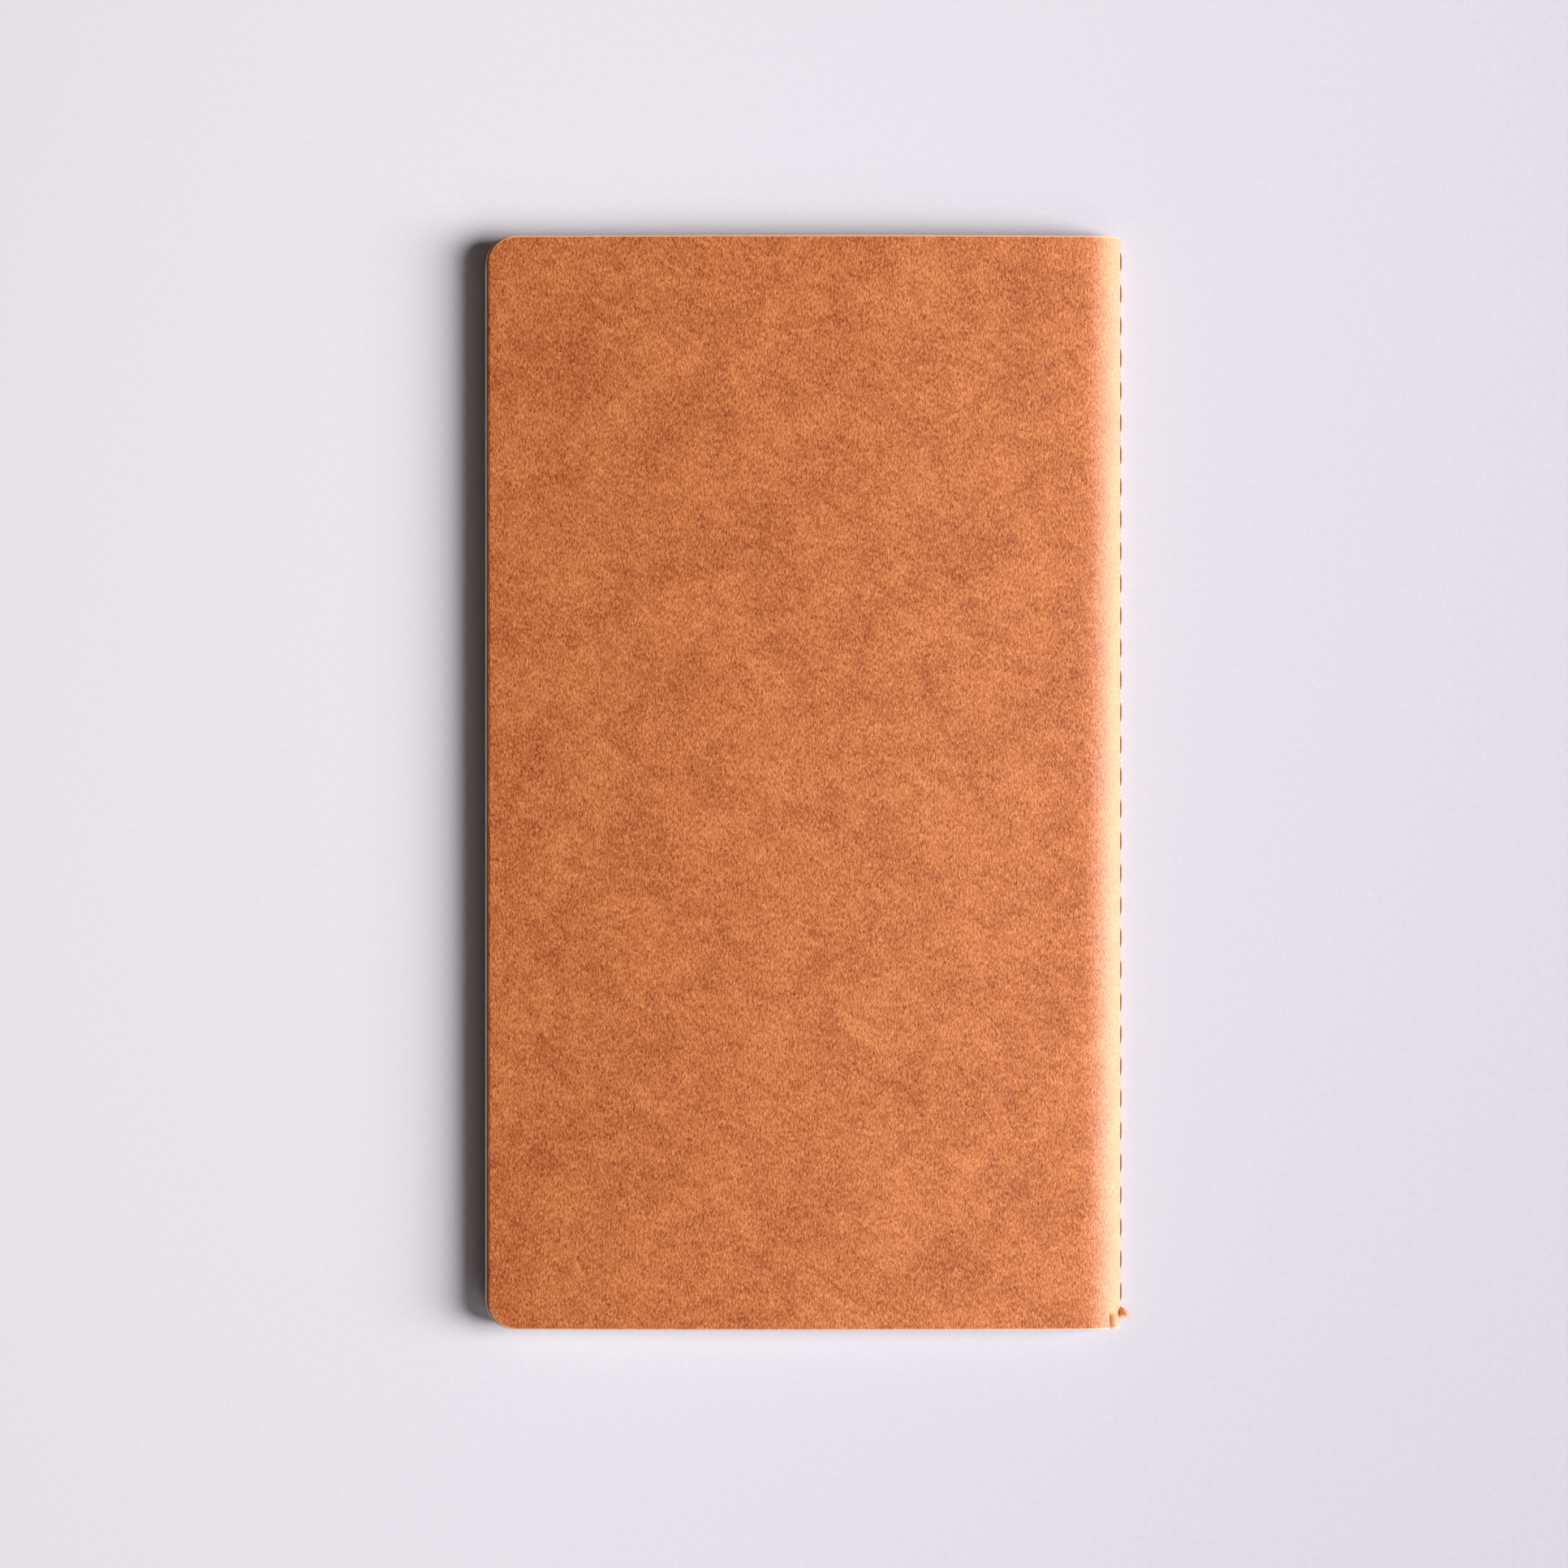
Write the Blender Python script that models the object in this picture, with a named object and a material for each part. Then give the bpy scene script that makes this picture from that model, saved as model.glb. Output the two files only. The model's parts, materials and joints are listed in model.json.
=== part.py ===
"""Pocket notebook: one gathering of folded sheets, lock-stitched through its fold into a card cover.

The notebook lies closed on its front cover. +X points out of the spine, +Y to the head, +Z up.
The origin is on the underside of the front cover, in the middle of the closed notebook.
Every piece has its own origin on the fold of the centre sheet, which all the leaves turn about.
"""
from math import asin, cos, floor, pi, radians, sin

import bmesh
import bpy

MM = 0.001

# The closed notebook
WIDTH = 88.9 * MM  # fore-edge of the leaves to the back of the spine
LENGTH = 152.4 * MM  # head to tail
CORNER_RADIUS = 4.0 * MM  # the two rounded corners at the fore-edge
FOLD_DEPTH = 6.0 * MM  # back of the spine to where the leaves lie flat
LEAF_OVERHANG = 0.45 * MM  # how far the leaves, trimmed together, stand out past the covers

# Card and paper
COVER_CARD = 0.35 * MM
SHEET_PAPER = 0.10 * MM
SHEET_COUNT = 16
LEAF_AIR = 0.02 * MM  # between leaves that lie on each other
COVER_AIR = 0.03 * MM  # between a cover and the outermost leaf
SEAM_GAP = 0.3 * MM  # between a flat panel or leaf and the flexing fold that continues it

# Sewing
THREAD_DIAMETER = 0.35 * MM
STITCH_PITCH = 4.5 * MM
HEAD_MARGIN = 1.1 * MM  # head edge to the first needle hole
TAIL_MARGIN = 2.5 * MM  # least distance from the last needle hole to the tail edge
HOLE_CLEARANCE = 0.065 * MM  # all round the thread in a needle hole
LEG_GAP = 0.10 * MM  # between the two legs of a loop in a needle hole
THREAD_SEAT = 0.03 * MM  # between a stitch and the fold that it lies on
LOCK_GAP = 0.10 * MM  # between the two threads where they meet in a hole
HOLE_EDGE = 0.05 * MM  # least flat left beside a needle hole
TAIL_LENGTH = 2.4 * MM  # loose end of the outside thread
TAIL_LIFT = 0.5 * MM  # how far its tip stands off the spine

LOOP_BEND = 0.8  # how far a loop's legs stay apart at its bend, as a share of their distance

CORNER_STEPS = 5
FOLD_STEPS = 7
SHARP_EDGE = radians(40)

# Worked out from the sizes above
sheets_height = SHEET_COUNT * SHEET_PAPER + (SHEET_COUNT - 0.5) * LEAF_AIR
half_thickness = COVER_CARD + COVER_AIR + sheets_height
spine_x = WIDTH / 2
fold_x = spine_x - FOLD_DEPTH
hinge_x = spine_x - half_thickness
hinge_z = half_thickness
hinge = (hinge_x, 0, hinge_z)
head_y = LENGTH / 2
leaf_fore_x = -WIDTH / 2
cover_fore_x = leaf_fore_x + LEAF_OVERHANG

thread_radius = THREAD_DIAMETER / 2
leg_offset = thread_radius + LEG_GAP / 2
hole_height = THREAD_DIAMETER + 2 * HOLE_CLEARANCE
hole_length = 2 * (leg_offset + thread_radius + HOLE_CLEARANCE)
stitch_count = floor((LENGTH - HEAD_MARGIN - TAIL_MARGIN) / STITCH_PITCH)
hole_ys = [head_y - HEAD_MARGIN - i * STITCH_PITCH for i in range(stitch_count + 1)]


def clear_scene():
    for obj in list(bpy.data.objects):
        bpy.data.objects.remove(obj, do_unlink=True)


def make_material(name, colour, roughness):
    material = bpy.data.materials.new(name)
    material.use_nodes = True
    shader = material.node_tree.nodes["Principled BSDF"]
    shader.inputs["Base Color"].default_value = (*colour, 1)
    shader.inputs["Roughness"].default_value = roughness
    shader.inputs["Metallic"].default_value = 0
    return material


def add_object(name, data, material=None):
    """Link an object that has its origin on the hinge line of the centre fold."""
    obj = bpy.data.objects.new(name, data)
    bpy.context.scene.collection.objects.link(obj)
    obj.location = hinge
    if material:
        data.materials.append(material)
    return obj


def prism(name, outline, step, material=None):
    """Extrude a closed outline of world points along step, as a mesh about the hinge line."""
    bm = bmesh.new()
    base = [bm.verts.new((x - hinge_x, y, z - hinge_z)) for x, y, z in outline]
    face = bm.faces.new(base)
    extruded = bmesh.ops.extrude_face_region(bm, geom=[face])["geom"]
    moved = [item for item in extruded if isinstance(item, bmesh.types.BMVert)]
    bmesh.ops.translate(bm, verts=moved, vec=step)
    bmesh.ops.recalc_face_normals(bm, faces=bm.faces)
    mesh = bpy.data.meshes.new(name)
    bm.to_mesh(mesh)
    bm.free()
    mesh.shade_smooth()
    mesh.set_sharp_from_angle(angle=SHARP_EDGE)
    return add_object(name, mesh, material)


def panel(name, fore_x, base_z, thickness, material):
    """A flat leaf or cover board, with its two fore-edge corners rounded."""
    left = fore_x + CORNER_RADIUS
    outline = [(fold_x, -head_y, base_z), (fold_x, head_y, base_z)]
    for end in (1, -1):
        centre_y = end * (head_y - CORNER_RADIUS)
        for i in range(CORNER_STEPS + 1):
            step = i if end > 0 else CORNER_STEPS - i
            turn = step / CORNER_STEPS * pi / 2
            x = left - CORNER_RADIUS * sin(turn)
            y = centre_y + end * CORNER_RADIUS * cos(turn)
            outline.append((x, y, base_z))
    return prism(name, outline, (0, 0, thickness), material)


def fold_arc(inset):
    """Points (x, z) of the spine's elliptical bend, inset from its outer face, bottom to top.

    The facet at the tip stays flat and upright, and tall enough for the needle holes.
    """
    depth = FOLD_DEPTH - inset
    height = half_thickness - inset
    tip = asin((hole_height / 2 + HOLE_EDGE) / height)
    last = asin(1) - asin(SEAM_GAP / depth)
    upper = [tip + (last - tip) * i / FOLD_STEPS for i in range(FOLD_STEPS + 1)]
    turns = [-turn for turn in reversed(upper)] + upper
    return [(fold_x + depth * cos(turn), hinge_z + height * sin(turn)) for turn in turns]


def fold_strip(name, profile, material, holes):
    """A bent strip as long as the notebook, with the needle holes cut through its tip."""
    outline = [(x, -head_y, z) for x, z in profile]
    strip = prism(name, outline, (0, LENGTH, 0), material)
    cut = strip.modifiers.new("needle_holes", "BOOLEAN")
    cut.operation = "DIFFERENCE"
    cut.solver = "EXACT"
    cut.object = holes
    return strip


def needle_hole_cutter():
    """One box for each needle hole, from inside the centre fold to outside the spine."""
    bm = bmesh.new()
    reach = half_thickness + 2 * THREAD_DIAMETER
    for y in hole_ys:
        box = bmesh.ops.create_cube(bm, size=1)["verts"]
        bmesh.ops.scale(bm, verts=box, vec=(reach, hole_length, hole_height))
        bmesh.ops.translate(bm, verts=box, vec=(half_thickness / 2, y, 0))
    mesh = bpy.data.meshes.new("needle_hole_cutter")
    bm.to_mesh(mesh)
    bm.free()
    cutter = add_object("needle_hole_cutter", mesh)
    cutter.hide_render = True
    cutter.display_type = "WIRE"
    return cutter


def thread(name, points, material):
    """A round thread through points (x, y, z) counted from the hinge line."""
    curve = bpy.data.curves.new(name, "CURVE")
    curve.dimensions = "3D"
    curve.bevel_depth = thread_radius
    curve.bevel_resolution = 1
    curve.use_fill_caps = True
    spline = curve.splines.new("POLY")
    spline.points.add(len(points) - 1)
    for point, place in zip(spline.points, points):
        point.co = (*place, 1)
    return add_object(name, curve, material)


def hole_leg(y, side, face_x, lie_x, loop_x):
    """One leg of a loop, from its bend in the hole at y to the stitch on that side of the hole."""
    bend = (loop_x, y + side * leg_offset * LOOP_BEND, 0)
    mouth = ((face_x + lie_x) / 2, y + side * leg_offset, 0)
    lie = (lie_x, y + side * (leg_offset + thread_radius / 2), 0)
    return [bend, mouth, lie]


def stitch_line(face_x, lie_x, loop_x):
    """Points of one thread of the lock stitch, from the first needle hole to the last.

    It lies along lie_x beside the fold's face, and loops round at loop_x in each hole.
    """
    points = []
    for y in hole_ys:
        if y != hole_ys[0]:
            points += reversed(hole_leg(y, 1, face_x, lie_x, loop_x))
        if y != hole_ys[-1]:
            points += hole_leg(y, -1, face_x, lie_x, loop_x)
    return points


def outside_thread(material):
    """The needle thread: on the back of the spine, with a loose end past the last hole."""
    lie_x = half_thickness + THREAD_SEAT + thread_radius
    loop_x = half_thickness / 2 + LOCK_GAP / 2 + thread_radius
    last_y = hole_ys[-1]
    points = stitch_line(half_thickness, lie_x, loop_x)
    points += hole_leg(last_y, -1, half_thickness, lie_x, loop_x)
    points.append((lie_x + TAIL_LIFT, last_y - TAIL_LENGTH, 0))
    return thread("outside_thread", points, material)


def inside_thread(material):
    """The bobbin thread: in the centre fold, looped against the needle thread in each hole."""
    lie_x = -THREAD_SEAT - thread_radius
    loop_x = half_thickness / 2 - LOCK_GAP / 2 - thread_radius
    return thread("inside_thread", stitch_line(0, lie_x, loop_x), material)


def cover_parts(card, holes):
    """The one card of the cover, as two flat boards and the spine that bends between them."""
    top_z = 2 * half_thickness - COVER_CARD
    panel("front_cover", cover_fore_x, 0, COVER_CARD, card)
    panel("back_cover", cover_fore_x, top_z, COVER_CARD, card)
    profile = fold_arc(0) + list(reversed(fold_arc(COVER_CARD)))
    fold_strip("cover_spine", profile, card, holes)


def sheet_leaves(number, paper):
    """The front and the back leaf of one folded sheet, sheet 1 being next to the cover."""
    pitch = SHEET_PAPER + LEAF_AIR
    inset = COVER_CARD + COVER_AIR + (number - 1) * pitch
    top_z = 2 * half_thickness - inset - SHEET_PAPER
    panel(f"sheet_{number:02d}_front_leaf", leaf_fore_x, inset, SHEET_PAPER, paper)
    panel(f"sheet_{number:02d}_back_leaf", leaf_fore_x, top_z, SHEET_PAPER, paper)


def sheet_folds(paper, holes):
    """The nested folds of all the sheets, open inside where the bobbin thread lies."""
    arc = fold_arc(COVER_CARD + COVER_AIR)
    slot = hole_height / 2 + HOLE_EDGE
    mouth_x = arc[0][0]
    corners = ((mouth_x, slot), (hinge_x, slot), (hinge_x, -slot), (mouth_x, -slot))
    profile = arc + [(x, hinge_z + z) for x, z in corners]
    fold_strip("sheet_folds", profile, paper, holes)


def build():
    clear_scene()
    kraft_card = make_material("kraft_card", (0.60, 0.21, 0.075), 0.75)
    ivory_paper = make_material("ivory_paper", (0.84, 0.78, 0.66), 0.85)
    ochre_thread = make_material("ochre_thread", (0.56, 0.27, 0.08), 0.7)
    holes = needle_hole_cutter()
    cover_parts(kraft_card, holes)
    for number in range(1, SHEET_COUNT + 1):
        sheet_leaves(number, ivory_paper)
    sheet_folds(ivory_paper, holes)
    outside_thread(ochre_thread)
    inside_thread(ochre_thread)


build()
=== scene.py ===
"""Pocket notebook: sewn kraft card cover, sixteen folded sheets and a lock stitch through the spine."""

import json
import random
from math import acos, asin, cos, exp, hypot, pi, radians, sin, tanh

import bpy
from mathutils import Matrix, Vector, noise


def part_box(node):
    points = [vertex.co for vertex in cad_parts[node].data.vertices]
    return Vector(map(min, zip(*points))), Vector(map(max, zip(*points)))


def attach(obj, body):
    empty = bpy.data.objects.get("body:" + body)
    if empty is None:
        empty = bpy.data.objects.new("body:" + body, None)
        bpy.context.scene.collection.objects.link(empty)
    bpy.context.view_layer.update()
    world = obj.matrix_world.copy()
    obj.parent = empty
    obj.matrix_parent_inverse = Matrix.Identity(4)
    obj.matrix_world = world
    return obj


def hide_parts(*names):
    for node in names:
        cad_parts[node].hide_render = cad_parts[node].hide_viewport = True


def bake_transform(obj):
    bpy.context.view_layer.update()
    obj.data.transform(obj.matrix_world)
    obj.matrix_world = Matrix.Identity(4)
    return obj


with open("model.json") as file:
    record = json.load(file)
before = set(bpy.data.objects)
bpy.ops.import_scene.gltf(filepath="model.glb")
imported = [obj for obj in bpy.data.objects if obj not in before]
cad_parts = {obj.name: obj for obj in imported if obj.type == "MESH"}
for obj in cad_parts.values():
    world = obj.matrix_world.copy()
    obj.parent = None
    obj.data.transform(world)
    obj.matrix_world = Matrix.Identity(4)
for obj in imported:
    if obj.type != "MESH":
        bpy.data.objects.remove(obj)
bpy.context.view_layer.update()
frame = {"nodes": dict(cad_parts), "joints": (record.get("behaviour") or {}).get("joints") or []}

MM = 0.001
PER_MM = 1000.0  # texture coordinates are in metres; this turns them to millimetres

# ---------------------------------------------------------------- the closed notebook, from the frame
board_low, board_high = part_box("back_cover")
spine_low, spine_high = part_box("cover_spine")
leaf_names = sorted(n for n in frame["nodes"] if n.endswith("_back_leaf"))
hinge = Vector(next(j["pos_m"] for j in frame["joints"] if j["name"] == "back_cover_open"))

HEAD_Y = board_high.y
FORE_X = board_low.x
FOLD_X = board_high.x  # the leaves start to bend here
SPINE_X = spine_high.x
THICKNESS = spine_high.z - spine_low.z
CARD = board_high.z - board_low.z
BEND_DEPTH = SPINE_X - FOLD_X
HALF = hinge.z

CORNER_RADIUS = 4.0 * MM
PUFF = 1.1 * MM  # the paper's spring lifts the middle of the closed notebook by this much
SWAY = 0.12 * MM  # slow unevenness of the board
SWAY_WAVES = (22, 17)  # waves of unevenness per metre, across and along
FINE_WAVES = (60, 55)  # finer ones on top of them
SHARPNESS = 1.7  # 1 makes the back of the spine round, 2 makes its two sides meet at a sharp edge
FLATNESS = 0.8  # 1 bends the sides of the spine evenly; less leaves them flatter near the boards
GUTTER = 1.5 * MM  # a layer has extra columns this far past the bend, where it would go on curving if the notebook were opened
GUTTER_STEPS = 6

# Wear and painted highlight: 0 leaves the card its own colour, 1 gives it the pale colour of a rubbed
# edge. The rim gets it as real wear; along the back of the spine it is a painted highlight, where the
# window's light glares off the bend
RIM_WEAR = 0.8
# painted highlight: a pale band painted along the back of the spine, strongest at its edge
SPINE_PAINTED_HIGHLIGHT = 0.48
SPINE_PAINTED_HIGHLIGHT_WIDTH = 2.2 * MM
EDGE_ROUNDING = 0.4  # how far a cut edge is worn down, as a share of the width of its outermost rim

# The knocked tail corner of the spine
CREASE_INSET = 1.72 * MM  # back of the spine to the short crease
CREASE_LENGTH = 1.85 * MM  # tail edge to where the crease runs out
CREASE_FADE = 0.20 * MM
CREASE_REACH = 4 * MM  # nothing is dented further than this from the tail
FACET_WIDTH = 1.2 * MM
FACET_DEPTH = 0.90 * MM
LIP_WIDTH = 0.015 * MM
GROOVE_DEPTH = 0.25 * MM
TUCK = 0.15 * MM  # how far the bottom of the crease lies under its lip
DEEPEST = 0.85  # most that a point sinks, as a share of its height over the centre fold

# Sewing
STITCH_PITCH = 4.5 * MM
HEAD_MARGIN = 1.1 * MM
STITCHES = round((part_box("inside_thread")[1].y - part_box("inside_thread")[0].y) / STITCH_PITCH)
HOLE_YS = [HEAD_Y - HEAD_MARGIN - i * STITCH_PITCH for i in range(STITCHES + 1)]
THREAD_RADIUS = 0.175 * MM
OUTSIDE_CREST = -0.10 * MM  # the needle thread is pulled into the back of the spine
INSIDE_CREST = 0.12 * MM  # the bobbin thread stands off the centre fold
PINCH_DEPTH = 0.17 * MM  # groove that a stitch presses into the spine
PINCH_WIDTH = 0.17 * MM
PINCH_FADE = 0.85 * MM  # the groove gets shallower this close to a hole
HOLE_DEPTH = 0.14 * MM
HOLE_WIDTH = 0.22 * MM


# ---------------------------------------------------------------- shape of the pressed notebook
def bump_at(distance, width):
    """A smooth swelling, 1 at its middle and fading over width."""
    return exp(-((distance / width) ** 2))


def nearest_hole(y):
    """Distance along the spine to the nearest needle hole."""
    return min(abs(y - hole) for hole in HOLE_YS)


def lift(x, y):
    """How far the top of the closed notebook stands above flat, from the spring of the paper."""
    across = min(max((x - FORE_X) / (SPINE_X - FORE_X), 0), 1)
    arch = 4 * across * (1 - across)
    sway = noise.noise(Vector((x * SWAY_WAVES[0], y * SWAY_WAVES[1], 3.7)))
    sway += 0.4 * noise.noise(Vector((x * FINE_WAVES[0], y * FINE_WAVES[1], 9.1)))
    return arch * (PUFF + SWAY * sway)


def settled(x, y, z):
    """A point of the flat, closed notebook, moved to where the sprung and sewn one has it."""
    return x, y, z + z / THICKNESS * lift(x, y)


def pinch(y, z):
    """The groove that each tight stitch presses into the back of the spine, and the needle holes."""
    from_hole = nearest_hole(y)
    groove = PINCH_DEPTH * (1 - bump_at(from_hole, PINCH_FADE))
    hole = HOLE_DEPTH * bump_at(from_hole, HOLE_WIDTH)
    return (groove + hole) * bump_at(z - HALF, PINCH_WIDTH)


def bend_height(share):
    """Height of the bend over the centre fold, as a share of its full height, at a share of its depth."""
    turn = acos(min(max(share, 0), 1) ** (1 / FLATNESS))
    return sin(turn) ** SHARPNESS


def dented(x, y, z):
    """Push a point over the centre fold down where the tail corner of the spine was knocked.

    It leaves a short sharp crease, its bottom tucked under the lip, and a pressed facet beside it.
    """
    from_tail = y + HEAD_Y
    if from_tail > CREASE_REACH or z < HALF:
        return x, z
    near_tail = 0.5 - 0.5 * tanh((from_tail - CREASE_LENGTH) / CREASE_FADE)
    from_crease = x - (SPINE_X - CREASE_INSET)
    if from_crease > 0:
        facet = max(0, 1 - from_crease / FACET_WIDTH) ** 1.7
    else:
        facet = bump_at(from_crease, LIP_WIDTH)
    groove = bump_at(from_crease - 0.06 * MM, 0.08 * MM) * bump_at(from_tail - 1.5 * MM, 0.7 * MM)
    depth = (FACET_DEPTH * facet + GROOVE_DEPTH * groove) * near_tail
    room = max(HALF * bend_height((x - FOLD_X) / BEND_DEPTH), 0.1 * MM)
    tuck = 0
    if from_crease > -0.01 * MM:
        tuck = TUCK * bump_at(from_crease - 0.02 * MM, 0.06 * MM) * near_tail
    return x - tuck, HALF + (z - HALF) * (1 - min(DEEPEST, depth / room))


# ---------------------------------------------------------------- leaves and boards
def bend_line(inset, turns):
    """(x, height above the centre fold) along the bend of a layer, from the spine's tip to its flat."""
    depth = BEND_DEPTH - inset
    height = HALF - inset
    line = []
    for turn in turns:
        x = FOLD_X + depth * max(cos(turn), 0) ** FLATNESS
        line.append((x, height * sin(turn) ** SHARPNESS))
    return line


def layer_columns(inset, thickness, fore_x, bend, flat, corner, rim):
    """Columns of a layer from the spine to the fore-edge: (outer point, inner point, half length).

    There are flat columns from the gutter to the rounded corners, and corner columns round them.
    """
    outer = bend_line(inset, bend)
    inner = bend_line(inset + thickness, bend)
    columns = [(o, i, HEAD_Y) for o, i in zip(outer, inner)]
    top = HALF - inset
    under = HALF - inset - thickness
    start = fore_x + CORNER_RADIUS
    gutter_end = FOLD_X - GUTTER
    xs = [FOLD_X - GUTTER * i / GUTTER_STEPS for i in range(1, GUTTER_STEPS + 1)]
    xs += [gutter_end + (start - gutter_end) * i / flat for i in range(1, flat)]
    columns += [((x, top), (x, under), HEAD_Y) for x in xs]
    turns = [pi / 2 * i / corner for i in range(corner)]
    if rim:
        turns += [asin(1 - width / CORNER_RADIUS) for width in reversed(rim)]
    turns.append(pi / 2)
    for turn in turns:
        x = start - CORNER_RADIUS * sin(turn)
        half_length = HEAD_Y - CORNER_RADIUS + CORNER_RADIUS * cos(turn)
        columns.append(((x, top), (x, under), half_length))
    return columns


def layer_rows(marks, rim):
    """Rows from tail to head as (share of the inner length, width of rim left out at the end)."""
    rows = [(-1, width) for width in (0, *rim)]
    rows += [(mark, rim[-1] if rim else 0) for mark in marks]
    rows += [(1, width) for width in (*reversed(rim), 0)]
    return rows


def layer_points(side, columns, rows, rim, sewn):
    """Corners of a layer, their places on the flattened sheet, and how much pale edge colour each gets:
    real wear on the rim, a painted highlight along the back of the spine.

    Each column has an outer and an inner corner on every row.
    """
    edge_drop = rim[0] * EDGE_ROUNDING if rim else 0
    verts, uvs, wear_and_highlight = [], [], []
    travelled = 0
    previous = columns[0][0]
    last = len(columns) - 1
    for j, (outer, inner, half_length) in enumerate(columns):
        travelled += hypot(outer[0] - previous[0], outer[1] - previous[1])
        previous = outer
        # painted highlight: the back of the spine is painted pale where the window's light glares off its
        # bend
        painted_highlight = SPINE_PAINTED_HIGHLIGHT * bump_at(SPINE_X - outer[0], SPINE_PAINTED_HIGHLIGHT_WIDTH) if sewn else 0
        for i, (share, left_out) in enumerate(rows):
            y = share * (half_length - left_out)
            on_edge = j == last or i in (0, len(rows) - 1)
            in_rim = rim and (left_out < rim[-1] or j >= last - len(rim) + 1)
            for x, height in (outer, inner):
                is_outer = height == outer[1]
                drop = edge_drop if on_edge and is_outer else 0
                pressed_x, z = dented(x, y, HALF + side * (height - drop))
                if sewn and is_outer:
                    pressed_x -= pinch(y, z)
                verts.append(settled(pressed_x, y, z))
                uvs.append((side * travelled, y))
                wear_and_highlight.append(RIM_WEAR if in_rim else painted_highlight)
    return verts, uvs, wear_and_highlight


def layer_faces(column_count, row_count):
    """Faces of a layer, and the material of each: 0 for its two sides, 1 for its cut edges."""
    faces, slots = [], []
    last = column_count - 1

    def vertex(j, i, inside):
        return (j * row_count + i) * 2 + inside

    def add_wall(wall, flip):
        faces.append(wall[::-1] if flip else wall)
        slots.append(1)

    for j in range(last):
        for i in range(row_count - 1):
            ring = [(j, i), (j + 1, i), (j + 1, i + 1), (j, i + 1)]
            faces.append([vertex(a, b, 0) for a, b in ring])
            faces.append([vertex(a, b, 1) for a, b in reversed(ring)])
            slots += [0, 0]
        for i, flip in ((0, True), (row_count - 1, False)):
            add_wall([vertex(j, i, 0), vertex(j + 1, i, 0), vertex(j + 1, i, 1), vertex(j, i, 1)], flip)
    for j, flip in ((0, False), (last, True)):
        for i in range(row_count - 1):
            add_wall([vertex(j, i, 0), vertex(j, i + 1, 0), vertex(j, i + 1, 1), vertex(j, i, 1)], flip)
    return faces, slots


def build_layer(name, side, columns, rows, rim, materials, sewn):
    """One closed sheet of paper or card: side is 1 for the half above the centre fold, -1 below."""
    verts, uvs, wear_and_highlight = layer_points(side, columns, rows, rim, sewn)
    faces, slots = layer_faces(len(columns), len(rows))
    if side > 0:
        faces = [face[::-1] for face in faces]
    mesh = bpy.data.meshes.new(name)
    mesh.from_pydata(verts, [], faces)
    mesh.polygons.foreach_set("material_index", slots)
    set_flat_places(mesh, uvs)
    # real wear on the rim and a painted highlight along the back of the spine
    attribute = mesh.attributes.new("wear_and_painted_highlight", "FLOAT", "POINT")
    attribute.data.foreach_set("value", wear_and_highlight)
    mesh.shade_smooth()
    mesh.set_sharp_from_angle(angle=radians(40))
    for material in materials:
        mesh.materials.append(material)
    return link(name, mesh)


def set_flat_places(mesh, uvs):
    """Texture coordinates in metres on the flattened piece, which stay put when it bends."""
    layer = mesh.uv_layers.new(name="flat_size")
    for loop in mesh.loops:
        layer.data[loop.index].uv = uvs[loop.vertex_index]


def link(name, data):
    """Put a mesh, light or camera in the scene as an object."""
    obj = bpy.data.objects.new(name, data)
    bpy.context.scene.collection.objects.link(obj)
    return obj


CARD_RIM = (0.10 * MM, 0.26 * MM)  # rows and columns this far inside the cut edge

# Where a layer has its other rows and columns, in millimetres
ROWS_BY_HOLE = (-1.4, -0.7, -0.3, 0, 0.3, 0.7, 1.4, 2.25)  # from a needle hole towards the tail
CARD_BY_CREASE = (-0.25, -0.12, -0.06, -0.03, 0, 0.04, 0.09, 0.15, 0.22, 0.40)  # towards the spine
LEAF_BY_CREASE = (-0.15, 0, 0.15, 0.4)
LEAF_BY_TAIL = (0.9, 1.4, 1.7, 1.9, 2.1, 2.4, 3.0)  # from the tail edge
CARD_BY_TAIL = [step * 0.22 for step in range(2, 14)]
LEAF_STAGGER = (0.05, 0.11)  # each leaf falls this far short of the trimmed line, by chance


def board_marks():
    """Row positions that follow the needle holes, and the knocked tail corner."""
    reach = HEAD_Y - 0.3 * MM  # just inside the rim
    ys = set()
    for hole in HOLE_YS:
        for step in ROWS_BY_HOLE:
            y = hole - step * MM
            if abs(y) < reach - 0.2 * MM:
                ys.add(round(y / reach, 6))
    for step in CARD_BY_TAIL:
        ys.add(round((-HEAD_Y + step * MM) / reach, 6))
    return sorted(ys)


def bend_turns(count, near_crease):
    """Places along a bend, closer together towards its tip and beside the crease."""
    turns = [(i / count) ** 1.5 * pi / 2 for i in range(count + 1)]
    for at in near_crease:
        share = 1 - (CREASE_INSET - at * MM) / BEND_DEPTH
        turns.append(acos(share ** (1 / FLATNESS)))
    return sorted(turns)


def make_boards(card, cut_card):
    """The one card of the cover, as the half over the spine's stitch line and the half under it."""
    bend = bend_turns(22, CARD_BY_CREASE)
    columns = layer_columns(0, CARD, FORE_X, bend, flat=30, corner=10, rim=CARD_RIM)
    rows = layer_rows(board_marks(), CARD_RIM)
    for name, side in (("back_cover", 1), ("front_cover", -1)):
        board = build_layer(f"{name}_card", side, columns, rows, CARD_RIM, [card, cut_card], True)
        bend_with(board)
        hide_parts(name, "cover_spine")


def bend_with(obj):
    """Bake a layer's placement into its mesh."""
    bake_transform(obj)


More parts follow.
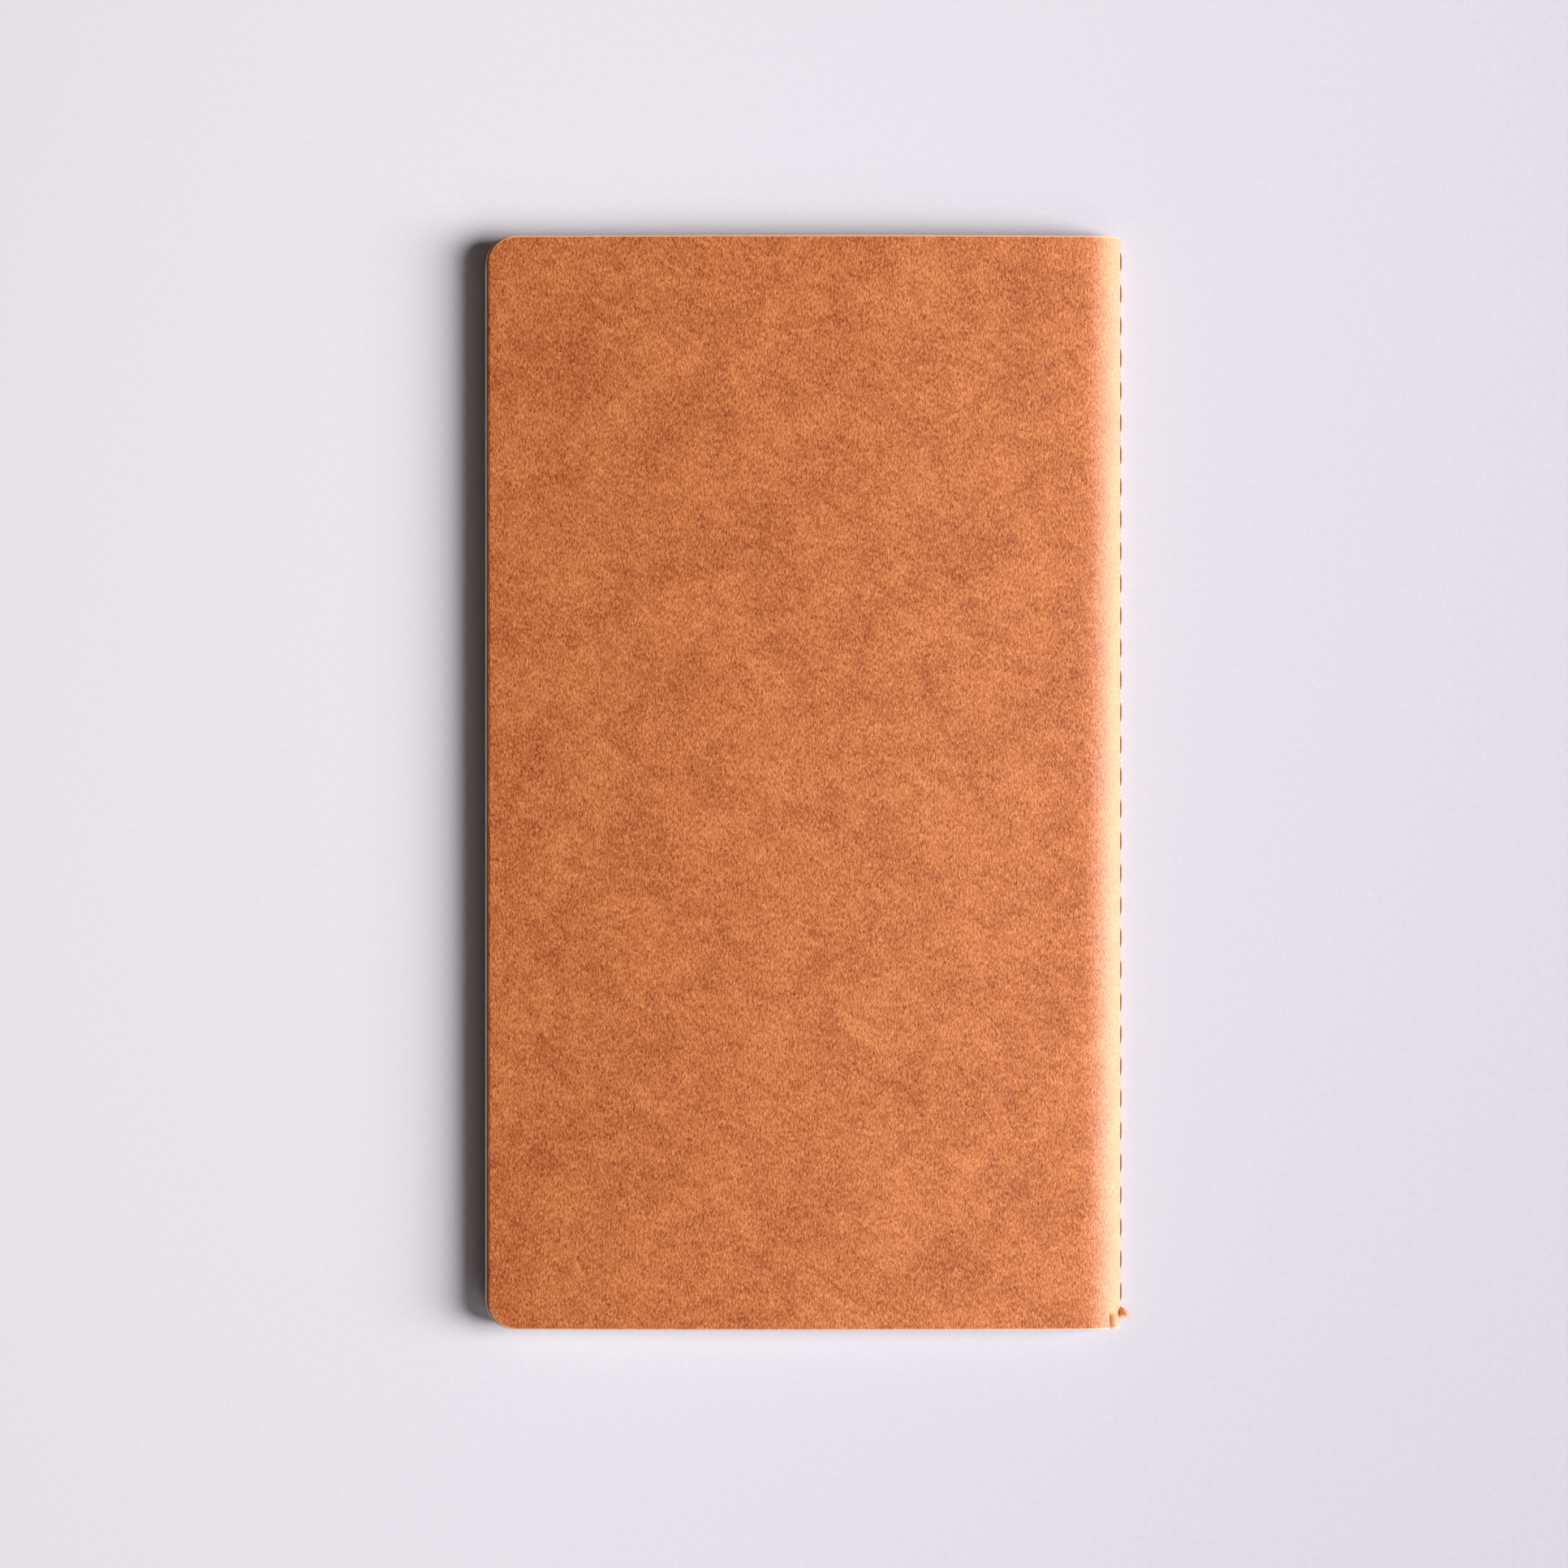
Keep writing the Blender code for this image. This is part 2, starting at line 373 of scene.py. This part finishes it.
def make_leaves(paper, cut_paper):
    """Both leaves of every folded sheet, each bent round to the stitch line."""
    marks = [-1 + step * MM / HEAD_Y for step in LEAF_BY_TAIL] + [i / 9 for i in range(-8, 9)]
    rows = layer_rows(marks, ())
    bend = bend_turns(14, LEAF_BY_CREASE)
    for back_leaf in leaf_names:
        low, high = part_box(back_leaf)
        inset = THICKNESS - high.z
        for node, side in ((back_leaf, 1), (back_leaf.replace("back", "front"), -1)):
            fore_x = low.x + random.uniform(*LEAF_STAGGER) * MM
            columns = layer_columns(inset, high.z - low.z, fore_x, bend, flat=8, corner=6, rim=())
            leaf = build_layer(f"{node}_paper", side, columns, rows, (), [paper, cut_paper], False)
            bend_with(leaf)
            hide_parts(node, "sheet_folds")


# ---------------------------------------------------------------- thread
def smooth_path(points, per_span):
    """Points of a smooth curve through the given ones."""
    padded = [2 * points[0] - points[1], *points, 2 * points[-1] - points[-2]]
    path = []
    for a, b, c, d in zip(padded, padded[1:], padded[2:], padded[3:]):
        for i in range(per_span):
            t = i / per_span
            slope = (c - a) * t
            curve = (2 * a - 5 * b + 4 * c - d) * t * t
            path.append(0.5 * ((2 * b) + slope + curve + (3 * b - a - 3 * c + d) * t ** 3))
    path.append(points[-1])
    return path


def frames_along(path):
    """(point, side, up, distance) along a path, without sudden turns of the section."""
    result = []
    up = Vector((0, 0, 1))
    distance = 0
    for i, point in enumerate(path):
        ahead = path[min(i + 1, len(path) - 1)]
        behind = path[max(i - 1, 0)]
        tangent = (ahead - behind).normalized()
        up = (up - up.dot(tangent) * tangent).normalized()
        if i:
            distance += (point - path[i - 1]).length
        result.append((point, tangent.cross(up), up, distance))
    return result


def add_tube(mesh_parts, centres, radii, sides):
    """Append one round strand, closed at both ends, to the lists of verts, faces and uvs."""
    verts, faces, uvs = mesh_parts
    first = len(verts)
    rings = frames_along(centres)
    for (point, side, up, distance), radius in zip(rings, radii):
        for k in range(sides):
            turn = 2 * pi * k / sides
            verts.append(point + radius * (cos(turn) * side + sin(turn) * up))
            uvs.append((distance, turn * radius))
    for ring in range(len(rings) - 1):
        for k in range(sides):
            a = first + ring * sides + k
            b = first + ring * sides + (k + 1) % sides
            faces.append([a, b, b + sides, a + sides])
    faces.append([first + k for k in reversed(range(sides))])
    end = first + (len(rings) - 1) * sides
    faces.append([end + k for k in range(sides)])


def finish_tubes(name, mesh_parts, material):
    """One object of all the strands in the lists of verts, faces and uvs."""
    verts, faces, uvs = mesh_parts
    mesh = bpy.data.meshes.new(name)
    mesh.from_pydata(verts, [], faces)
    set_flat_places(mesh, uvs)
    mesh.shade_smooth()
    mesh.materials.append(material)
    return link(name, mesh)


PLY_COUNT = 3
PLY_TWIST = 1.15 * MM  # length of one turn of the plies
PLY_RADIUS = THREAD_RADIUS * 0.52  # each ply is pressed a little into the next
STITCH_FLAT = 1.5 * MM  # this far from its middle a stitch has sunk by STITCH_DIP
STITCH_DIP = 0.24 * MM
STITCH_DRIFT = 0.04 * MM  # most that a thread wanders to either side
STITCH_STEP = 0.14 * MM  # between points along a thread


def add_plied_thread(mesh_parts, path):
    """A thread of three plies laid round each other."""
    reach = THREAD_RADIUS - PLY_RADIUS
    for ply in range(PLY_COUNT):
        centres = []
        for point, side, up, distance in frames_along(path):
            turn = 2 * pi * (distance / PLY_TWIST + ply / PLY_COUNT)
            centres.append(point + reach * (cos(turn) * side + sin(turn) * up))
        add_tube(mesh_parts, centres, [PLY_RADIUS] * len(centres), sides=6)


def stitch_path(face_x, outward, crest):
    """The lie of one thread of the lock stitch: low arches that dip into each hole."""
    path = []
    y = HOLE_YS[0]
    while y > HOLE_YS[-1] - STITCH_STEP / 2:
        from_hole = nearest_hole(y)
        from_middle = STITCH_PITCH / 2 - from_hole
        arch = crest - STITCH_DIP * (from_middle / STITCH_FLAT) ** 4
        drift = STITCH_DRIFT * noise.noise(Vector((y * 400, outward * 5, 0)))
        path.append(Vector((face_x + outward * arch, y, HALF + drift)))
        y -= STITCH_STEP
    return [Vector(settled(*point)) for point in path]


def make_outside_thread(thread):
    """The needle thread on the back of the spine, up to the last hole."""
    parts = ([], [], [])
    add_plied_thread(parts, stitch_path(SPINE_X, 1, OUTSIDE_CREST))
    outside = finish_tubes("outside_thread_plies", parts, thread)
    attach(outside, "spine")
    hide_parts("outside_thread")


FIBRE_COUNT = 170
FIBRE_SPANS = 5
FIBRE_ASIDE = (-0.10, 0.44)  # middle and spread of how far a fibre heads to one side
FIBRE_RISE = (0.45, 1.15)
FIBRE_LENGTH = (1.1 * MM, 1.9 * MM)
FIBRE_DROOP = (0.3 * MM, 0.9 * MM)
FIBRE_RADIUS = (0.022 * MM, 0.038 * MM)
STRAY_EVERY = 5  # every fifth fibre is a thin stray, longer and hanging lower than the rest


def make_frayed_end(fibres):
    """The cut end of the outside thread, unlaid into fibres that fan out of the last hole to the tail.

    A cotton fibre is 0.02 mm thick. Most of these are drawn about three times as thick, so that they show.
    """
    parts = ([], [], [])
    hole = Vector((SPINE_X - 0.30 * MM, HOLE_YS[-1] + 0.10 * MM, HALF))
    draw = random.Random(11)
    for n in range(FIBRE_COUNT):
        stray = n % STRAY_EVERY == 0
        aside = draw.gauss(*FIBRE_ASIDE)
        heading = Vector((0.62 + aside, -0.95, draw.uniform(*FIBRE_RISE))).normalized()
        length = draw.uniform(*FIBRE_LENGTH) * (1.45 if stray else 1)
        droop = draw.uniform(*FIBRE_DROOP) * (1.8 if stray else 1)
        curl = Vector([draw.gauss(0, 0.12 if stray else 0.05) for _ in range(3)]) * MM
        start = hole + Vector([draw.gauss(0, 0.10) * MM for _ in range(3)])
        points = []
        for i in range(FIBRE_SPANS + 1):
            t = i / FIBRE_SPANS
            sag = Vector((0, 0, droop * t ** 2.5))
            points.append(start + heading * length * t + curl * sin(2 * pi * t) - sag)
        fibre = smooth_path(points, 3)
        radius = draw.uniform(*FIBRE_RADIUS) * (0.5 if stray else 1)
        radii = [radius * (1 - 0.5 * i / len(fibre)) for i in range(len(fibre))]
        add_tube(parts, fibre, radii, sides=5)
    # the fibres get the lighter copy of the thread colour, partly painted light against their own shade
    frayed = finish_tubes("frayed_thread_end", parts, fibres)
    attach(frayed, "spine")


def make_inside_thread(thread):
    """The bobbin thread along the centre fold."""
    parts = ([], [], [])
    add_plied_thread(parts, stitch_path(hinge.x, -1, INSIDE_CREST))
    inside = finish_tubes("inside_thread_plies", parts, thread)
    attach(inside, "spine")
    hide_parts("inside_thread")


# ---------------------------------------------------------------- materials
def linear(colour):
    """An sRGB hex colour as the linear values that a shader wants."""
    channels = [int(colour[i:i + 2], 16) / 255 for i in (1, 3, 5)]
    return [c / 12.92 if c <= 0.04045 else ((c + 0.055) / 1.055) ** 2.4 for c in channels] + [1.0]


def add(tree, kind, settings=None, **inputs):
    """Add a node. Settings are its own properties; an input is a value or another node's output.

    An input is named as on the node, or i0, i1 and so on for its number.
    """
    node = tree.nodes.new(kind)
    for key, value in (settings or {}).items():
        setattr(node, key, value)
    for key, value in inputs.items():
        numbered = key[0] == "i" and key[1:].isdigit()
        socket = node.inputs[int(key[1:]) if numbered else key.replace("_", " ")]
        if isinstance(value, bpy.types.NodeSocket):
            tree.links.new(value, socket)
        else:
            socket.default_value = value
    return node


def start_material(name, **shader_values):
    """A material with its node tree and its shader, which gets these values."""
    material = bpy.data.materials.new(name)
    material.use_nodes = True
    tree = material.node_tree
    shader = tree.nodes["Principled BSDF"]
    for key, value in shader_values.items():
        shader.inputs[key.replace("_", " ")].default_value = value
    return material, tree, shader


def flat_millimetres(tree):
    """Places on the flattened sheet, in millimetres."""
    uv = add(tree, "ShaderNodeUVMap", {"uv_map": "flat_size"})
    scaled = add(tree, "ShaderNodeVectorMath", {"operation": "SCALE"}, i0=uv.outputs[0], Scale=PER_MM)
    return scaled.outputs[0]


def kraft_card(name, light, middle, dark, edge):
    """Kraft card, uncoated, calendered: cloudy, flecked with long fibres, with a dull sheen."""
    material, tree, shader = start_material(name, Roughness=0.52, IOR=1.5)
    place = flat_millimetres(tree)
    # Real kraft fibres are 0.03 mm wide. These are drawn about six times coarser, or they wouldn't show.
    # Each layer has its turn in degrees, its length and width in millimetres, its detail and its weight.
    layers = (
        (0, 9.0, 9.0, 4.0, 0.30),  # clouds of pulp, denser here and thinner there
        (35, 2.4, 1.7, 3.0, 0.34),
        (80, 0.44, 0.28, 2.0, 0.68),  # flocks of fibre
        (84, 0.70, 0.17, 1.0, 0.62),  # long fibres, most of them along the web
        (112, 0.62, 0.18, 1.0, 0.56),
        (58, 0.56, 0.18, 1.0, 0.40),
    )
    cloud_layers = 2
    total = None
    for n, (turn, length, width, detail, weight) in enumerate(layers):
        turned = add(
            tree, "ShaderNodeMapping", {"vector_type": "TEXTURE"},
            Vector=place, Location=(0.37 * turn, 0.21 * turn, 0), Rotation=(0, 0, radians(turn)),
            Scale=(length, width, 1),
        )
        marks = add(
            tree, "ShaderNodeTexNoise",
            Vector=turned.outputs[0], Scale=1.0, Detail=detail, Distortion=0.6,
        )
        part = add(
            tree, "ShaderNodeMath", {"operation": "MULTIPLY_ADD"},
            i0=marks.outputs[0], i1=weight, i2=0.5 - weight / 2 if total is None else -weight / 2,
        )
        if total is None:
            total = part
        else:
            total = add(
                tree, "ShaderNodeMath", {"operation": "ADD"},
                i0=total.outputs[0], i1=part.outputs[0],
            )
        if n + 1 == cloud_layers:
            clouds = total
    ramp = add(tree, "ShaderNodeValToRGB", Fac=total.outputs[0])
    stops = ramp.color_ramp.elements
    stops[0].position, stops[0].color = 0.24, linear(dark)
    stops[1].position, stops[1].color = 0.76, linear(light)
    stops.new(0.50).color = linear(middle)
    # the pale edge colour: real wear on the rim, painted highlight along the back of the spine
    wear_and_highlight_mask = add(tree, "ShaderNodeAttribute", {"attribute_name": "wear_and_painted_highlight"})
    mixed = add(
        tree, "ShaderNodeMix", {"data_type": "RGBA"},
        i0=wear_and_highlight_mask.outputs["Fac"], i6=ramp.outputs[0], i7=linear(edge),
    )
    tree.links.new(mixed.outputs[2], shader.inputs["Base Color"])
    # Only the fibres stand up from the card, and less so on the worn rim and under the painted highlight
    # along the spine
    relief = add(
        tree, "ShaderNodeMath", {"operation": "SUBTRACT"},
        i0=total.outputs[0], i1=clouds.outputs[0],
    )
    strength = add(
        tree, "ShaderNodeMath", {"operation": "MULTIPLY_ADD"},
        i0=wear_and_highlight_mask.outputs["Fac"], i1=-0.6, i2=0.6,
    )
    bump = add(
        tree, "ShaderNodeBump",
        Height=relief.outputs[0], Strength=strength.outputs[0], Distance=0.05 * MM,
    )
    tree.links.new(bump.outputs[0], shader.inputs["Normal"])
    return material


def cut_edge(name, light, dark, speck):
    """The guillotined edge of paper or card: matte, finely specked where the knife tears the fibres.

    A real speck is about 0.02 mm across. These are drawn speck millimetres across, so that they show.
    """
    material, tree, shader = start_material(name, Roughness=0.85, IOR=1.45)
    place = flat_millimetres(tree)
    nicks = add(tree, "ShaderNodeTexNoise", Vector=place, Scale=1 / speck, Detail=3.0, Roughness=0.7)
    ramp = add(tree, "ShaderNodeValToRGB", Fac=nicks.outputs[0])
    stops = ramp.color_ramp.elements
    stops[0].position, stops[0].color = 0.30, linear(dark)
    stops[1].position, stops[1].color = 0.70, linear(light)
    tree.links.new(ramp.outputs[0], shader.inputs["Base Color"])
    bump = add(tree, "ShaderNodeBump", Height=nicks.outputs[0], Strength=0.6, Distance=0.02 * MM)
    tree.links.new(bump.outputs[0], shader.inputs["Normal"])
    return material


def writing_paper(name, light, dark):
    """Ivory writing paper, uncoated wood-free stock: even, faintly cloudy, matte, with a fine tooth.

    The tooth is drawn a few times coarser than real paper's, or it wouldn't show.
    """
    material, tree, shader = start_material(name, Roughness=0.78, IOR=1.45)
    place = flat_millimetres(tree)
    clouds = add(tree, "ShaderNodeTexNoise", Vector=place, Scale=1 / 3.5, Detail=5.0, Roughness=0.65)
    tooth = add(tree, "ShaderNodeTexNoise", Vector=place, Scale=1 / 0.22, Detail=2.0)
    ramp = add(tree, "ShaderNodeValToRGB", Fac=clouds.outputs[0])
    stops = ramp.color_ramp.elements
    stops[0].position, stops[0].color = 0.25, linear(dark)
    stops[1].position, stops[1].color = 0.75, linear(light)
    tree.links.new(ramp.outputs[0], shader.inputs["Base Color"])
    bump = add(tree, "ShaderNodeBump", Height=tooth.outputs[0], Strength=0.35, Distance=0.012 * MM)
    tree.links.new(bump.outputs[0], shader.inputs["Normal"])
    return material


def spun_thread(name, light, dark):
    """Spun cotton thread, dyed: streaks of light and dark fibre along each ply, and a soft sheen.

    A cotton fibre is 0.02 mm thick. Its streaks are drawn about twice as wide, so that they show.
    """
    material, tree, shader = start_material(
        name, Roughness=0.7, IOR=1.5, Sheen_Weight=0.35, Sheen_Roughness=0.4,
    )
    place = flat_millimetres(tree)
    drawn = add(
        tree, "ShaderNodeMapping", {"vector_type": "POINT"},
        Vector=place, Scale=(1 / 0.5, 1 / 0.035, 1),
    )
    fibres = add(tree, "ShaderNodeTexNoise", Vector=drawn.outputs[0], Scale=1.0, Detail=2.0)
    ramp = add(tree, "ShaderNodeValToRGB", Fac=fibres.outputs[0])
    stops = ramp.color_ramp.elements
    stops[0].position, stops[0].color = 0.28, linear(dark)
    stops[1].position, stops[1].color = 0.70, linear(light)
    tree.links.new(ramp.outputs[0], shader.inputs["Base Color"])
    bump = add(tree, "ShaderNodeBump", Height=fibres.outputs[0], Strength=0.5, Distance=0.02 * MM)
    tree.links.new(bump.outputs[0], shader.inputs["Normal"])
    return material


def table_paper(name, light, dark):
    """Background paper, pale lavender, matte, with a fine tooth, and painted shade: it is coloured darker
    towards the lower right, where the window lights it most.

    The tooth is drawn a few times coarser than real paper's, or it wouldn't show.
    """
    deepens = (1, -0.22, 0)  # the way in which the grey deepens
    palest, deepest = -190.0, 230.0  # millimetres that way from the middle of the notebook
    material, tree, shader = start_material(name, Roughness=0.9, IOR=1.4)
    shader.inputs["Specular IOR Level"].default_value = 0.25
    object_place = add(tree, "ShaderNodeTexCoord")
    place = add(
        tree, "ShaderNodeVectorMath", {"operation": "SCALE"},
        i0=object_place.outputs["Object"], Scale=PER_MM,
    )
    tooth = add(
        tree, "ShaderNodeTexNoise",
        Vector=place.outputs[0], Scale=1 / 0.7, Detail=3.0, Roughness=0.6,
    )
    across = add(
        tree, "ShaderNodeVectorMath", {"operation": "DOT_PRODUCT"},
        i0=place.outputs[0], i1=deepens,
    )
    # painted shade: the paper is coloured darker towards the lower right, which evens out the brighter
    # light there from the window
    painted_shade = add(
        tree, "ShaderNodeMapRange", {"interpolation_type": "SMOOTHSTEP"},
        Value=across.outputs["Value"], i1=palest, i2=deepest, i3=0.0, i4=1.0,
    )
    grain = add(
        tree, "ShaderNodeMath", {"operation": "MULTIPLY_ADD"},
        i0=tooth.outputs[0], i1=0.14, i2=-0.07,
    )
    tone = add(tree, "ShaderNodeMath", {"operation": "ADD"}, i0=painted_shade.outputs[0], i1=grain.outputs[0])
    ramp = add(tree, "ShaderNodeValToRGB", Fac=tone.outputs[0])
    stops = ramp.color_ramp.elements
    stops[0].position, stops[0].color = 0.05, linear(light)
    stops[1].position, stops[1].color = 0.95, linear(dark)
    tree.links.new(ramp.outputs[0], shader.inputs["Base Color"])
    bump = add(tree, "ShaderNodeBump", Height=tooth.outputs[0], Strength=0.25, Distance=0.03 * MM)
    tree.links.new(bump.outputs[0], shader.inputs["Normal"])
    return material


# ---------------------------------------------------------------- table, light and camera
TABLE_REACH = 1.5  # half the table's side, in metres
TABLE_CELLS = 8
TABLE_DROP = 0.02 * MM  # keeps the table just clear of the front cover
VIEW_WIDTH = 218.5 * MM
VIEW_CENTRE = (-2.77 * MM, -0.17 * MM)  # a little off the middle of the notebook
CAMERA_HEIGHT = 600 * MM


def make_table(paper):
    """A flat sheet of background paper under the notebook, far wider than the view."""
    marks = [TABLE_REACH * (2 * i / TABLE_CELLS - 1) for i in range(TABLE_CELLS + 1)]
    verts = [(x, y, -TABLE_DROP) for y in marks for x in marks]
    faces = []
    for j in range(TABLE_CELLS):
        for i in range(TABLE_CELLS):
            a = j * (TABLE_CELLS + 1) + i
            faces.append([a, a + 1, a + TABLE_CELLS + 2, a + TABLE_CELLS + 1])
    mesh = bpy.data.meshes.new("table_top")
    mesh.from_pydata(verts, [], faces)
    mesh.materials.append(paper)
    table = link("table_top", mesh)


def add_soft_light(name, azimuth, elevation, distance, size, energy, colour):
    """An oval light aimed at the notebook; azimuth runs from +X towards +Y."""
    light = bpy.data.lights.new(name, "AREA")
    light.shape = "ELLIPSE"
    light.size, light.size_y = size
    light.energy = energy
    light.color = colour
    obj = link(name, light)
    a, e = radians(azimuth), radians(elevation)
    obj.location = Vector((cos(e) * cos(a), cos(e) * sin(a), sin(e))) * distance
    obj.rotation_euler = obj.location.to_track_quat("Z", "Y").to_euler()


def make_light():
    """A window beyond the spine, a weak fill from the tail, and the glow of a warm room."""
    add_soft_light(
        "window", azimuth=-5.5, elevation=35.2, distance=0.95,
        size=(0.52, 0.80), energy=18.2, colour=(1.0, 0.98, 0.95),
    )
    add_soft_light(
        "side_fill", azimuth=-60, elevation=38, distance=1.1,
        size=(0.7, 0.7), energy=2.0, colour=(0.98, 0.97, 1.0),
    )
    world = bpy.data.worlds.new("room")
    world.use_nodes = True
    bpy.context.scene.world = world
    background = world.node_tree.nodes["Background"]
    background.inputs["Color"].default_value = (1.0, 0.72, 0.55, 1)
    background.inputs["Strength"].default_value = 0.045
    bpy.context.scene.view_settings.view_transform = "Standard"


def make_camera():
    """Straight down on the notebook, from 600 mm over its cover."""
    camera = bpy.data.cameras.new("overhead")
    camera.lens = camera.sensor_width * CAMERA_HEIGHT / VIEW_WIDTH
    obj = link("overhead", camera)
    obj.location = (*VIEW_CENTRE, THICKNESS + CAMERA_HEIGHT)
    bpy.context.scene.camera = obj


# ---------------------------------------------------------------- put together
random.seed(7)
# the last colour is the pale rubbed edge; along the back of the spine it is also painted on as a highlight
card = kraft_card("kraft_card_calendered", "#E19058", "#BE6935", "#8B3A11", "#F0C8A6")
cut_card = cut_edge("kraft_card_guillotined", "#D6A27C", "#A86E48", 0.12)
ivory = writing_paper("ivory_paper_uncoated", "#F3EEE2", "#E9E2D2")
cut_ivory = cut_edge("ivory_paper_guillotined", "#F0EBDF", "#D2CABB", 0.3)
# The stitches and the frayed end are one thread in two colours. The frayed end's lighter, more orange copy
# is partly the paler look of loose fibre and partly painted light that lifts the shade among its fibres.
ochre = spun_thread("cotton_thread_plied", "#9C6428", "#55300E")
loose_with_painted_light = spun_thread("cotton_thread_frayed_with_painted_light", "#F8A63E", "#D9801E")
make_boards(card, cut_card)
make_leaves(ivory, cut_ivory)
make_outside_thread(ochre)
make_frayed_end(loose_with_painted_light)
make_inside_thread(ochre)
make_table(table_paper("background_paper_painted_shade", "#F1EFF9", "#B1B0BC"))
make_light()
make_camera()
